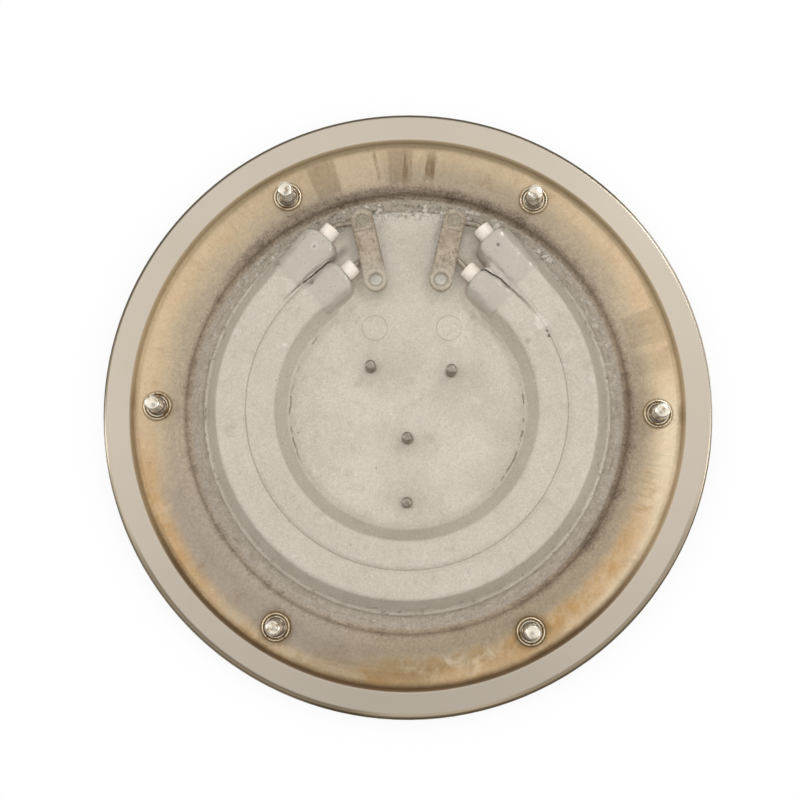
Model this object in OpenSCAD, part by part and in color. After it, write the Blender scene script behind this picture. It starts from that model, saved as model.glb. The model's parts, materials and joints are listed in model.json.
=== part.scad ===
// Heating plate of a water boiler, seen from its dry side.
// A pressed stainless pan carries a cast aluminium plate with two C-shaped
// tubular elements cast into its ribs. +Z points to the dry side, and the
// origin is at the centre of the flat face that rests on a bench.

/* [Pan] */
// Outside diameter of the pan
pan_d = 240; // [236:1:260]
// Thickness of the stainless sheet
sheet_t = 1; // [0.8:0.1:1.2]
// Distance from the edge of the pan to the flat floor under the cast plate
floor_inset = 34.4; // [32:0.2:36]
// Rise from the floor to the ring that carries the mounting studs
land_rise = 3; // [2.4:0.1:3.6]
// Rise from that ring to the rim
rim_rise = 2; // [1.4:0.1:2.4]
// Width of the rim, edge included
rim_w = 10.45; // [9.5:0.05:12]
// Bend radius of the step round the floor, dry side
floor_bend_r = 2.2; // [2:0.1:2.6]
// Bend radius at the foot of the rim step, dry side
rim_foot_r = 2; // [1.6:0.1:2.6]
// Bend radius at the top of the rim step, dry side
rim_crest_r = 1.4; // [1.3:0.1:2]
// Radius over which the outer edge turns down
edge_r = 1.5; // [1.4:0.1:2]
// Height of the turned edge
edge_h = 3.2; // [2.4:0.1:4]

/* [Cast plate] */
// Width of bare floor between the cast plate and the step of the pan
plate_inset = 5.1; // [3:0.1:6]
// Thickness of the cast plate
plate_t = 2.4; // [2.15:0.05:2.45]
// Thickness of metal on a rib over its element
rib_cover = 0.7; // [0.5:0.05:1.3]
// Width of the flat top of a rib, measured between its corners
rib_w = 10.4; // [9.8:0.1:10.8]
// Slope of the sides of a rib from upright, in degrees
rib_draft = 30; // [24:1:34]
// Rounding of the top corners of a rib
rib_round = 1.3; // [0.8:0.1:1.8]
// Fillet between the ribs and the plate
foot_fillet = 1.6; // [1:0.1:2.4]
// Gap between the casting and the step of the pan
cast_gap = 0.8; // [0.4:0.1:1.2]
// Width of the swollen barrel round the end of each element
barrel_d = 16.4; // [15.6:0.1:17.2]
// Rounding of the upper corners of a barrel
barrel_round = 5; // [4:0.1:5.4]
// Rise of the top of a barrel over the top of its rib
barrel_rise = 0.5; // [0.3:0.05:1]
// Diameter of the end face of a barrel
nose_d = 9.4; // [8.8:0.1:10.4]
// Length over which a barrel narrows to its end face
nose_l = 6.5; // [5:0.1:8]
// Length by which the nose of a barrel stands out past the foot of its rib
nose_out = 3; // [2:0.1:4]
// Length of the barrels on the inner element
inner_barrel_l = 15.5; // [14:0.5:16]
// Length of the barrels on the outer element
outer_barrel_l = 22; // [18:0.5:26]
// Depth of the bare label tracks on the ribs
label_depth = 0.3; // [0.2:0.05:0.4]
// Width of the bare label tracks
label_w = 5.2; // [4:0.1:6]
// Diameter of the two bare marking rings
mark_d = 10.2; // [8:0.1:11]
// Height of the marking rings
mark_h = 0.25; // [0.2:0.05:0.4]

/* [Elements] */
// Outside diameter of the element sheath
tube_d = 8; // [7.6:0.1:8.4]
// Wall of the element sheath
tube_wall = 0.8; // [0.6:0.05:1]
// Distance from the edge of the cast plate to the axis of the outer element
outer_inset = 11.2; // [10.9:0.1:11.6]
// Distance between the axes of the two elements
element_pitch = 12.2; // [11.8:0.1:12.8]
// Half the opening angle of the inner element
inner_open = 42; // [40:0.5:44]
// Half the opening angle of the outer element
outer_open = 50; // [48:0.5:52]
// Straight end of the inner element
inner_tail = 16.5; // [15.8:0.1:17.5]
// Straight end of the outer element
outer_tail = 31.8; // [30:0.1:33]
// Turn of the inner element clockwise from the middle of the opening, in degrees
inner_turn = 1.5; // [-2:0.1:2]
// Outside diameter of the heating coil
coil_d = 3.6; // [3:0.1:4.4]
// Diameter of the cold pins
pin_d = 2.3; // [2:0.1:2.6]
// Length of a cold pin inside the sheath
pin_in = 15; // [12:0.5:15.5]

/* [Ceramic beads] */
// Diameter of a bead
bead_d = 7; // [6.6:0.1:7.1]
// Length of a bead outside the sheath
bead_l = 5; // [4:0.1:6]
// Length of the spigot that plugs the sheath
spigot_l = 3; // [2:0.1:4]
// Chamfer on the front edge of a bead
bead_chamfer = 0.3; // [0.2:0.1:1]
// Gap between a bead and the cast plate under it
bead_clear = 0.1; // [0.05:0.05:0.4]

/* [Terminal strips] */
// Distance from the inner bead to the screw hole, towards the centre line
hole_in = 9.28; // [8.6:0.02:10.4]
// Distance from the inner bead to the screw hole, away from the opening
hole_down = 5.22; // [4:0.02:6.5]
// Distance from the outer bead to the weld of its pin, along the element
weld_ahead = 9.16; // [8:0.02:10]
// Distance from the outer bead to the weld of its pin, towards the inner element
weld_across = 6.78; // [6:0.02:8]
// Shift of both strips to the right of the middle of the opening
strip_shift = 0.7; // [-1:0.1:1]
// Distance from the screw hole to the centre of the inner round end
strip_back = 0.5; // [0:0.1:1.5]
// Width of a strip
strip_w = 9.1; // [8:0.1:9.4]
// Thickness of a strip
strip_t = 1.2; // [1:0.1:1.6]
// Diameter of the screw hole
strip_hole_d = 4.8; // [4.2:0.1:5.3]
// Diameter of the round weld dimple over the outer pin
dimple_d = 5.4; // [4.5:0.1:6]
// Depth of the weld dimple
dimple_depth = 0.3; // [0.2:0.05:0.5]
// Bend radius of the outer pins
pin_bend_r = 4; // [3:0.1:5]
// Length of a pin past the middle of the strip
pin_past = 2; // [1:0.1:2.5]
// Flat that the weld leaves on a pin
weld_flat = 0.25; // [0.1:0.05:0.35]

/* [Studs] */
// Number of mounting studs
stud_count = 6; // [3:1:12]
// Distance of the stud circle from the middle of its ring on the pan, outwards
stud_out = 0.69; // [-0.5:0.01:0.9]
// Turn of the mounting studs about the centre, in degrees
stud_turn = -1; // [-5:0.5:5]
// Thread diameter of the mounting studs
stud_d = 6; // [5:0.5:6]
// Height of the mounting studs over the sheet
stud_l = 12.5; // [10:0.1:20]
// Diameter of the weld flange of a mounting stud
flange_d = 7.5; // [7:0.1:8]
// Height of the weld flange
flange_h = 1.5; // [1.2:0.1:2]
// Outside diameter of the collar round each stud
collar_d = 11.1; // [10:0.1:12]
// Thickness of the collar at its raised edge
collar_t = 1.1; // [0.8:0.1:1.2]
// Thread diameter of the small studs on the cast plate
cutout_stud_d = 3.9; // [3:0.1:5]
// Height of the small studs over the cast plate
cutout_stud_h = 9.5; // [8:0.1:14]
// Pitch circle diameter of the three cut-out studs
cutout_pcd = 36.7; // [30:0.1:38]
// Distance of their centre from the centre line
cutout_x = 1.2; // [0:0.1:2]
// Distance of their centre towards the opening
cutout_y = 6.8; // [5:0.1:8]
// Direction of the first of the three cut-out studs, in degrees from the right
cutout_turn = 27; // [20:0.5:40]
// Distance from the axis of the inner element to the earth stud
earth_inset = 20.4; // [19:0.1:23]
// Height of the earth stud over the cast plate
earth_h = 7; // [6:0.1:12]
// Depth to which the small studs are set into the plate
stud_set = 1.8; // [1.2:0.1:2]
// Diameter of the smooth shank by which a small stud is set in
shank_d = 3.3; // [2.8:0.1:3.4]

/* [Fits] */
// Gap all round a part that is set into another
fit_gap = 0.05; // [0.02:0.01:0.1]

/* [Hidden] */

$fn = 96;
ring_fn = 180;
pin_fn = 48;
stud_fn = 64;
eps = 0.01;
arc_steps = 6;
rib_arc_steps = 3;
barrel_arc_steps = 5;
full_turn = 360;
hair = 0.01;
lap = 0.2;
outer_sink = 0.02;
inner_sink = 0.06;
nose_margin = 0.6;

// Angle through which a step with two bend radii turns to rise by a height
function step_turn(rise, foot, crest) = acos(1 - rise / (foot + crest));
function step_run(rise, foot, crest) = (foot + crest) * sin(step_turn(rise, foot, crest));

// Radii, from the edge of the pan inwards
pan_r = pan_d / 2;
rim_r = pan_r - rim_w;
floor_r = pan_r - floor_inset;
ring_from = floor_r + step_run(land_rise, floor_bend_r, floor_bend_r);
ring_to = rim_r - step_run(rim_rise, rim_foot_r, rim_crest_r);
stud_circle_r = (ring_from + ring_to) / 2 + stud_out;
cast_limit_r = floor_r - cast_gap;
plate_r = floor_r - plate_inset;
outer_r = plate_r - outer_inset;
inner_r = outer_r - element_pitch;

// Levels, from the bench upwards
land_z = sheet_t + land_rise;
rim_z = land_z + rim_rise;
edge_z = rim_z - edge_h;
plate_z = sheet_t + plate_t;
tube_z = plate_z + bead_clear + bead_d / 2;
rib_z = tube_z + tube_d / 2 + rib_cover;
rib_h = rib_z - plate_z;
strip_z = tube_z + pin_d / 2 - weld_flat;

bore_d = tube_d - 2 * tube_wall;
spigot_d = bore_d - 2 * fit_gap;

// Direction of each marking ring, and its distance inwards from the inner element
marks = [[62.9, 20.25], [111.1, 21.8]];
mark_w = 0.6;
// Directions between which the label tracks run
label_from = -13;
label_to = 22;

// Points on an arc
function arc(centre, r, from, to, steps = arc_steps) = [for (i = [0 : steps])
    let (a = from + (to - from) * i / steps) centre + r * [cos(a), sin(a)]];

// Dry or wet face of a step that starts at radius x on level z. The wet face
// lies one sheet below the dry one, so its bends have other radii.
function step_face(x, z, rise, foot, crest, below) =
    let (turn = step_turn(rise, foot, crest), run = step_run(rise, foot, crest))
    concat(arc([x, z + foot], foot + below, -90, -90 + turn),
        arc([x + run, z + rise - crest], crest - below, 90 + turn, 90));

// One face of the pan from the centre to the edge, at a depth below the dry face
function pan_face(below) = concat([[0, sheet_t - below]],
    step_face(floor_r, sheet_t, land_rise, floor_bend_r, floor_bend_r, below),
    step_face(rim_r - step_run(rim_rise, rim_foot_r, rim_crest_r), land_z, rim_rise,
        rim_foot_r, rim_crest_r, below),
    arc([pan_r - edge_r, rim_z - edge_r], edge_r - below, 90, 0),
    [[pan_r - below, edge_z]]);

function reversed(list) = [for (i = [len(list) - 1 : -1 : 0]) list[i]];

// Point on the left straight end of an element, a distance past the tangent point
function tail_point(ring_r, open, past) =
    [-ring_r * sin(open) + past * cos(open), ring_r * cos(open) + past * sin(open)];

// Half width of the flat top of a rib, and half its width at the plate
rib_half = rib_w / 2;
fillet_reach = foot_fillet * tan((90 - rib_draft) / 2);
rib_foot_half = rib_half + rib_h * tan(rib_draft) + fillet_reach;
round_turn = 90 - rib_draft;
round_cut = rib_round * tan(round_turn / 2);

// Right half of a rib's section, from its root in the plate to its top, slimmer
// by a hair or two where asked. The two ribs are sunk into the plate by unlike
// amounts, so that no faces of theirs nearly coincide.
function rib_side(slim, sink) = concat([[rib_foot_half - slim, -plate_t - 10 * sink]],
    arc([rib_foot_half - slim, foot_fillet - sink], foot_fillet, -90, rib_draft - 180,
        rib_arc_steps),
    arc([rib_half - round_cut - slim, rib_h - rib_round - slim], rib_round, rib_draft, 90,
        rib_arc_steps));

module pan_section() {
    polygon(concat(pan_face(0), reversed(pan_face(sheet_t))));
}

module steel_pan() {
    color("#c3b291") rotate_extrude($fn = ring_fn) pan_section();
}

module rib_section(slim, sink) {
    right = rib_side(slim, sink);
    left = [for (p = reversed(right)) [-p.x, p.y]];
    polygon(concat(right, left));
}

// Places its child where an element leaves its circle, on the left. Z runs
// along the straight end, X outwards and Y up.
module on_tail(ring_r, open, level) {
    rotate([0, 0, 90 + open]) translate([ring_r, 0, level]) rotate([90, 0, 0]) children();
}

module both_sides() {
    children();
    mirror([1, 0, 0]) children();
}

// Turns a child that belongs to the inner element. Side is 1 in the real frame
// and on the left, and -1 in the mirror image that makes a right-hand piece.
module turn_inner(side = 1) {
    rotate([0, 0, -side * inner_turn]) children();
}

function inner_turned(p, side) = let (a = -side * inner_turn)
    [p.x * cos(a) - p.y * sin(a), p.x * sin(a) + p.y * cos(a)];

// Turns a section round the circle of an element, from one tail to the other
module round_element(ring_r, open, level) {
    rotate([0, 0, 90 + open]) rotate_extrude(angle = full_turn - 2 * open, $fn = ring_fn)
        translate([ring_r, level]) children();
}

// A rib along the circle and both straight ends, with a round end on each. Each
// part starts inside the one before it and is a hair slimmer.
module rib(ring_r, open, tail, sink) {
    straight = tail - rib_foot_half - nose_out;
    round_element(ring_r, open, plate_z) rib_section(0, sink);
    both_sides() on_tail(ring_r, open, plate_z) {
        translate([0, 0, -lap]) linear_extrude(straight + lap) rib_section(hair, sink);
        translate([0, 0, straight]) rotate([-90, 0, 0]) rotate_extrude()
            polygon(concat([[0, rib_h - 2 * hair], [0, -plate_t]], rib_side(2 * hair, sink)));
    }
}

// The swollen end of a rib: a block with rounded upper corners, narrowed to a
// blunt nose round the end of the element
module barrel(ring_r, open, tail, length) {
    start = tail - length;
    half = barrel_d / 2;
    top = rib_z + barrel_rise - tube_z;
    right = concat([[half, -tube_z]],
        arc([half - barrel_round, top - barrel_round], barrel_round, 0, 90, barrel_arc_steps));
    left = [for (p = reversed(right)) [-p.x, p.y]];
    nose_from = norm([half - barrel_round, top - barrel_round]) + barrel_round + nose_margin;
    slim = nose_d / 2;
    nose = [for (i = [0 : arc_steps]) let (a = 90 * i / arc_steps)
        [slim + (nose_from - slim) * cos(a), tail - nose_l + nose_l * sin(a)]];
    on_tail(ring_r, open, tube_z) intersection() {
        translate([0, 0, start]) linear_extrude(length + lap) polygon(concat(right, left));
        rotate_extrude() polygon(concat([[0, start - lap], [nose_from, start - lap]], nose,
            [[0, tail]]));
    }
}

// Path of an element as a solid round bar, from end to end
module element_bar(ring_r, open, tail, d) {
    round_element(ring_r, open, tube_z) circle(d = d);
    both_sides() on_tail(ring_r, open, tube_z) translate([0, 0, -eps])
        cylinder(d = d, h = tail + eps);
}

// The bare track along the top of a rib where other makers put their marking
module label_track(ring_r) {
    half = label_w / 2;
    ends = [for (a = [label_from, label_to]) ring_r * [cos(a), sin(a)]];
    outline = concat(
        arc([0, 0], ring_r + half, label_from, label_to, 12),
        arc(ends[1], half, label_to, label_to + 180),
        arc([0, 0], ring_r - half, label_to, label_from, 12),
        arc(ends[0], half, label_from + 180, label_from + 360));
    translate([0, 0, rib_z - label_depth]) linear_extrude(label_depth + eps) polygon(outline);
}

module marking_rings() {
    for (m = marks) rotate([0, 0, m[0]]) translate([inner_r - m[1], 0, plate_z - mark_h]) difference() {
        cylinder(d = mark_d, h = 2 * mark_h);
        translate([0, 0, -eps]) cylinder(d = mark_d - 2 * mark_w, h = 2 * mark_h + 2 * eps);
    }
}

function cutout_place(i) = let (a = cutout_turn + i * full_turn / 3)
    [cutout_x, cutout_y] + cutout_pcd / 2 * [cos(a), sin(a)];
earth_place = [0, earth_inset - inner_r];

module heat_plate() {
    color("#cfc7b9") difference() {
        union() {
            intersection() {
                union() {
                    cylinder(r = plate_r, h = plate_z, $fn = ring_fn);
                    rib(outer_r, outer_open, outer_tail, outer_sink);
                    both_sides() barrel(outer_r, outer_open, outer_tail, outer_barrel_l);
                    turn_inner() {
                        rib(inner_r, inner_open, inner_tail, inner_sink);
                        both_sides() barrel(inner_r, inner_open, inner_tail, inner_barrel_l);
                    }
                }
                translate([0, 0, sheet_t]) cylinder(r = cast_limit_r, h = 2 * barrel_d, $fn = ring_fn);
            }
            marking_rings();
        }
        element_bar(outer_r, outer_open, outer_tail + eps, tube_d);
        turn_inner() element_bar(inner_r, inner_open, inner_tail + eps, tube_d);
        label_track(outer_r);
        label_track(inner_r);
        for (i = [0 : 2]) stud_hole(cutout_place(i));
        stud_hole(earth_place);
    }
}

module stud_hole(place) {
    translate(concat(place, plate_z - stud_set))
        cylinder(d = shank_d + 2 * fit_gap, h = stud_set + eps);
}

// A tube along the path of an element
module element_tube(ring_r, open, tail, d, bore) {
    difference() {
        element_bar(ring_r, open, tail, d);
        element_bar(ring_r, open, tail + eps, bore);
    }
}

module sheath(ring_r, open, tail) {
    color("#8f8a84") element_tube(ring_r, open, tail, tube_d, bore_d);
}

module outer_sheath() {
    sheath(outer_r, outer_open, outer_tail);
}

module inner_sheath() {
    turn_inner() sheath(inner_r, inner_open, inner_tail);
}

// Packed powder between the sheath and the coil, and round the cold pins
module insulation(ring_r, open, tail) {
    filled = tail - spigot_l;
    color("#e9e6df") difference() {
        element_bar(ring_r, open, filled, bore_d);
        element_bar(ring_r, open, tail - pin_in, coil_d);
        both_sides() on_tail(ring_r, open, tube_z) cylinder(d = pin_d, h = tail);
    }
}

module outer_insulation() {
    insulation(outer_r, outer_open, outer_tail);
}

module inner_insulation() {
    turn_inner() insulation(inner_r, inner_open, inner_tail);
}

// The outer form of the wound coil, which ends on the cold pins
module heating_coil(ring_r, open, tail) {
    color("#6b6660") element_bar(ring_r, open, tail - pin_in, coil_d);
}

module outer_heating_coil() {
    heating_coil(outer_r, outer_open, outer_tail);
}

module inner_heating_coil() {
    turn_inner() heating_coil(inner_r, inner_open, inner_tail);
}

// Left bead: a spigot in the sheath and a chamfered head with the pin's bore
module bead(ring_r, open, tail) {
    head = bead_d / 2;
    bore = pin_d / 2 + fit_gap;
    color("#f3ebe2") on_tail(ring_r, open, tube_z) rotate_extrude() polygon([
        [bore, tail - spigot_l], [spigot_d / 2, tail - spigot_l], [spigot_d / 2, tail],
        [head, tail], [head, tail + bead_l - bead_chamfer],
        [head - bead_chamfer, tail + bead_l], [bore, tail + bead_l]]);
}

module outer_left_bead() {
    bead(outer_r, outer_open, outer_tail);
}

module outer_right_bead() {
    mirror([1, 0, 0]) bead(outer_r, outer_open, outer_tail);
}

module inner_left_bead() {
    turn_inner() bead(inner_r, inner_open, inner_tail);
}

module inner_right_bead() {
    turn_inner() mirror([1, 0, 0]) bead(inner_r, inner_open, inner_tail);
}

// Left strip: screw hole beside the inner bead, weld dimple ahead of the outer bead
outer_ahead = [cos(outer_open), sin(outer_open)];
outer_across = [sin(outer_open), -cos(outer_open)];
bend_start = tail_point(outer_r, outer_open, outer_tail + bead_l);
strip_hole = tail_point(inner_r, inner_open, inner_tail + bead_l) + [hole_in, -hole_down];
strip_end = bend_start + weld_ahead * outer_ahead + weld_across * outer_across;
strip_l = norm(strip_end - strip_hole);
strip_dir = (strip_end - strip_hole) / strip_l;
strip_lean = atan2(-strip_dir.x, strip_dir.y);

// Places its child on a strip, with the screw hole at the origin and Y along it
module on_strip(side, level, place = [0, 0]) {
    translate([strip_hole.x + side * strip_shift, strip_hole.y, level])
        rotate([0, 0, strip_lean]) translate(place) children();
}

module strip_blank() {
    translate([-strip_w / 2, -strip_back, 0]) cube([strip_w, strip_back + strip_l, strip_t]);
    for (y = [-strip_back, strip_l]) translate([0, y, 0]) cylinder(d = strip_w, h = strip_t);
}

// The space over the underside of a strip, which flattens the pins welded there
module weld_cut(side) {
    long = strip_l + strip_back + strip_w;
    on_strip(side, strip_z, [-strip_w / 2, -strip_back - strip_w / 2])
        cube([strip_w, long, strip_t]);
}

module terminal_strip(side) {
    color("#a3937d") difference() {
        on_strip(side, strip_z) strip_blank();
        on_strip(side, strip_z - eps) cylinder(d = strip_hole_d, h = strip_t + 2 * eps);
        on_strip(side, strip_z + strip_t - dimple_depth, [0, strip_l])
            cylinder(d = dimple_d, h = dimple_depth + eps);
    }
}

module left_terminal_strip() {
    terminal_strip(1);
}

module right_terminal_strip() {
    mirror([1, 0, 0]) terminal_strip(-1);
}

// Distance along the inner tail at which its axis crosses the middle of the strip
function inner_meet(side) =
    let (p = inner_turned(tail_point(inner_r, inner_open, 0), side),
        d = inner_turned([cos(inner_open), sin(inner_open)], side),
        w = strip_hole + [side * strip_shift, 0] - p)
    (w.x * strip_dir.y - w.y * strip_dir.x) / (d.x * strip_dir.y - d.y * strip_dir.x);

// Straight cold pin of the inner element, welded under the strip
module inner_pin(side) {
    from = inner_tail - pin_in;
    to = inner_meet(side) + pin_past;
    color("#9d968c") difference() {
        turn_inner(side) on_tail(inner_r, inner_open, tube_z) translate([0, 0, from])
            cylinder(d = pin_d, h = to - from, $fn = pin_fn);
        weld_cut(side);
    }
}

// Cold pin of the outer element. Past the bead it bends towards the weld.
module outer_pin(side) {
    shifted = side * strip_shift * [cos(outer_open), sin(outer_open)];
    from_centre = [weld_ahead, weld_across - pin_bend_r] + shifted;
    far = norm(from_centre);
    lap_turn = 1.5;
    turn = atan2(from_centre.y, from_centre.x) + asin(pin_bend_r / far);
    run = sqrt(far * far - pin_bend_r * pin_bend_r) + pin_past;
    color("#9d968c") difference() {
        on_tail(outer_r, outer_open, tube_z) {
            translate([0, 0, outer_tail - pin_in])
                cylinder(d = pin_d, h = pin_in + bead_l, $fn = pin_fn);
            translate([-pin_bend_r, 0, outer_tail + bead_l]) rotate([90, 0, 0]) {
                rotate([0, 0, -lap_turn]) rotate_extrude(angle = turn + lap_turn)
                    translate([pin_bend_r, 0]) circle(r = pin_d / 2 - hair, $fn = pin_fn);
                rotate([0, 0, turn]) translate([pin_bend_r, -lap / 2, 0]) rotate([-90, 0, 0])
                    cylinder(r = pin_d / 2 - 2 * hair, h = run + lap / 2, $fn = pin_fn);
            }
        }
        weld_cut(side);
    }
}

module outer_left_pin() {
    outer_pin(1);
}

module outer_right_pin() {
    mirror([1, 0, 0]) outer_pin(-1);
}

module inner_left_pin() {
    inner_pin(1);
}

module inner_right_pin() {
    mirror([1, 0, 0]) inner_pin(-1);
}

// Places its child at each mounting stud, on the stud ring of the pan
module at_mounting_studs() {
    for (i = [0 : stud_count - 1]) rotate([0, 0, stud_turn + i * full_turn / stud_count])
        translate([stud_circle_r, 0, land_z]) children();
}

// Small stud on the cast plate: a smooth shank set in, a shoulder that seats on
// the plate, and a thread with a chamfered tip
module small_stud(place, height) {
    shank = shank_d / 2;
    thread = cutout_stud_d / 2;
    tip = 0.5;
    top = stud_set + height;
    translate(concat(place, plate_z - stud_set)) rotate_extrude($fn = stud_fn) polygon([
        [0, 0], [shank, 0], [shank, stud_set], [thread, stud_set], [thread, top - tip],
        [thread - tip, top], [0, top]]);
}

module mounting_studs() {
    tip = 0.6;
    edge = 0.3;
    half = flange_d / 2;
    color("#d9d2c6") at_mounting_studs() rotate_extrude($fn = stud_fn) polygon([[0, 0], [half, 0],
        [half, flange_h - edge], [half - edge, flange_h], [stud_d / 2, flange_h],
        [stud_d / 2, stud_l - tip], [stud_d / 2 - tip, stud_l], [0, stud_l]]);
}

// Collar with a raised, rounded edge and a lower inner face
module stud_collars() {
    inside = flange_d / 2 + fit_gap;
    outside = collar_d / 2;
    lip_r = 0.45;
    face_drop = 0.2;
    low = collar_t - lip_r;
    face_from = (outside - 2 * lip_r + inside) / 2;
    color("#d2c3a6") at_mounting_studs() rotate_extrude($fn = stud_fn) polygon(concat(
        [[inside, 0], [outside, 0]],
        arc([outside - lip_r, low], lip_r, 0, 180),
        [[face_from, low - face_drop], [inside, low - face_drop]]));
}

module cutout_studs() {
    color("#8d877c") for (i = [0 : 2]) small_stud(cutout_place(i), cutout_stud_h);
}

module earth_stud() {
    color("#857f74") small_stud(earth_place, earth_h);
}

steel_pan();
heat_plate();
outer_sheath();
inner_sheath();
outer_insulation();
inner_insulation();
outer_heating_coil();
inner_heating_coil();
outer_left_pin();
outer_right_pin();
inner_left_pin();
inner_right_pin();
outer_left_bead();
outer_right_bead();
inner_left_bead();
inner_right_bead();
left_terminal_strip();
right_terminal_strip();
mounting_studs();
stud_collars();
cutout_studs();
earth_stud();
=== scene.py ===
import json
import math
import random

import bmesh
import bpy
from mathutils import Matrix, Vector, noise


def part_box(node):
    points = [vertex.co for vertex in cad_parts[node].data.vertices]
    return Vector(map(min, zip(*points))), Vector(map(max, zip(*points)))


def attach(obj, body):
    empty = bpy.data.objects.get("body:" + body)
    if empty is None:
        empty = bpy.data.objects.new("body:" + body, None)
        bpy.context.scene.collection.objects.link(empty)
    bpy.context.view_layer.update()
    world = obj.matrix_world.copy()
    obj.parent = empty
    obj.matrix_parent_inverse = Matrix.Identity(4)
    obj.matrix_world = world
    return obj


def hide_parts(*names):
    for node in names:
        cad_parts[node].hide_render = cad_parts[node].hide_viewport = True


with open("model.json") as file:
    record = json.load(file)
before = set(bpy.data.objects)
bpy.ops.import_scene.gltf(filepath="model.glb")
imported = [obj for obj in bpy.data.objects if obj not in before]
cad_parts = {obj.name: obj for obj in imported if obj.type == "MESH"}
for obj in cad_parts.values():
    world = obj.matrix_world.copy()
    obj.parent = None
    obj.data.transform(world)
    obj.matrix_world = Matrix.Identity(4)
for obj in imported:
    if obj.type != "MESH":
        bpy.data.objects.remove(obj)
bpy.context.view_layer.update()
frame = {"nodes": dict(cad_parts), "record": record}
nodes = frame["nodes"]

# Driving sizes of the part, in metres and degrees, as in its source
MM = 0.001
PLATE_Z = 3.4 * MM
RIB_Z = 11.7 * MM
LAND_Z = 4 * MM
TUBE_Z = 7 * MM
TUBE_D = 8 * MM
RIB_FOOT = 10.9 * MM
ELEMENTS = {
    "inner": {"r": 57.1 * MM, "open": 42, "tail": 16.5 * MM, "barrel": 15.5 * MM, "turn": 1.5},
    "outer": {"r": 69.3 * MM, "open": 50, "tail": 31.8 * MM, "barrel": 22 * MM, "turn": 0},
}
STRIP_HOLE = Vector((12.949, 51.6))
STRIP_AHEAD = Vector((0.22136, 0.97519))
STRIP_SHIFT = 0.7
STUD_COUNT = 6
STUD_PCD = 197.603 * MM
STUD_TURN = -1
STUD_D = 6 * MM
STUD_L = 12.5 * MM
FLANGE_D = 7.5 * MM
FLANGE_H = 1.5 * MM
CUTOUT_D = 3.9 * MM
CUTOUT_H = 9.5 * MM
SHANK_D = 3.3 * MM
CUTOUT_CENTRE = Vector((1.2, 6.8)) * MM
CUTOUT_PCD = 36.7 * MM
CUTOUT_TURN = 27
EARTH_Y = -36.7 * MM
EARTH_H = 7 * MM

MARK_D = 10.0


def polar(r, degrees):
    a = math.radians(degrees)
    return Vector((r * math.cos(a), r * math.sin(a)))


def along(element, p):
    """How far a point lies past the start of an element's straight end, and outwards of its axis."""
    turn = math.radians(element["turn"])
    x = p.x * math.cos(turn) - p.y * math.sin(turn)
    y = p.x * math.sin(turn) + p.y * math.cos(turn)
    half = math.radians(element["open"])
    past = y * math.sin(half) - abs(x) * math.cos(half)
    if past > 0:
        return past, abs(x) * math.sin(half) + y * math.cos(half) - element["r"]
    return past, math.hypot(x, y) - element["r"]


# Camera, from the fit of the rim and the stud circle to the photograph
CAMERA_PLACE = Vector((7.712, -69.717, 578.317)) * MM
CAMERA_AHEAD = Vector((-0.01797302, 0.12721717, -0.99171204))
FOCAL_PIXELS = 1466
PICTURE_PIXELS = 800
SENSOR = 36


def make_camera():
    data = bpy.data.cameras.new("camera")
    data.sensor_width = SENSOR
    data.lens = FOCAL_PIXELS * SENSOR / PICTURE_PIXELS
    data.clip_start = 0.01
    data.clip_end = 20
    camera = bpy.data.objects.new("camera", data)
    bpy.context.scene.collection.objects.link(camera)
    ahead = CAMERA_AHEAD.normalized()
    right = ahead.cross(Vector((0, 1, 0))).normalized()
    up = right.cross(ahead)
    turn = Matrix((right, up, -ahead)).transposed()
    camera.matrix_world = Matrix.Translation(CAMERA_PLACE) @ turn.to_4x4()
    bpy.context.scene.camera = camera


# Shader values that can be added, scaled and compared like numbers


class Field:
    def __init__(self, tree, socket):
        self.tree = tree
        self.socket = socket

    def math(self, operation, *others, clamp=False):
        node = self.tree.nodes.new("ShaderNodeMath")
        node.operation = operation
        node.use_clamp = clamp
        for slot, value in zip(node.inputs, (self, *others)):
            if isinstance(value, Field):
                self.tree.links.new(value.socket, slot)
            else:
                slot.default_value = value
        return Field(self.tree, node.outputs[0])

    def __add__(self, other):
        return self.math("ADD", other)

    def __sub__(self, other):
        return self.math("SUBTRACT", other)

    def __mul__(self, other):
        return self.math("MULTIPLY", other)

    def __truediv__(self, other):
        return self.math("DIVIDE", other)

    def __neg__(self):
        return self.math("MULTIPLY", -1.0)

    def inverse(self):
        return (self * -1.0) + 1.0

    def power(self, exponent):
        return self.math("MAXIMUM", 0.0).math("POWER", exponent)

    def clamped(self):
        return self.math("ADD", 0.0, clamp=True)

    def rise(self, start, end):
        """0 below start and 1 above end, with a smooth step between."""
        node = self.tree.nodes.new("ShaderNodeMapRange")
        node.interpolation_type = "SMOOTHSTEP"
        self.tree.links.new(self.socket, node.inputs["Value"])
        low, high, first, last = (start, end, 0.0, 1.0) if start < end else (end, start, 1.0, 0.0)
        node.inputs["From Min"].default_value = low
        node.inputs["From Max"].default_value = high
        node.inputs["To Min"].default_value = first
        node.inputs["To Max"].default_value = last
        return Field(self.tree, node.outputs["Result"])

    def band(self, start, end, soft):
        return self.rise(start - soft, start + soft) * self.rise(end + soft, end - soft)


def linear(colour):
    """sRGB values of 0 to 255 as the linear values that a shader takes."""
    out = []
    for c in colour:
        c = c / 255
        out.append(c / 12.92 if c <= 0.04045 else ((c + 0.055) / 1.055) ** 2.4)
    return (*out, 1.0)


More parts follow.
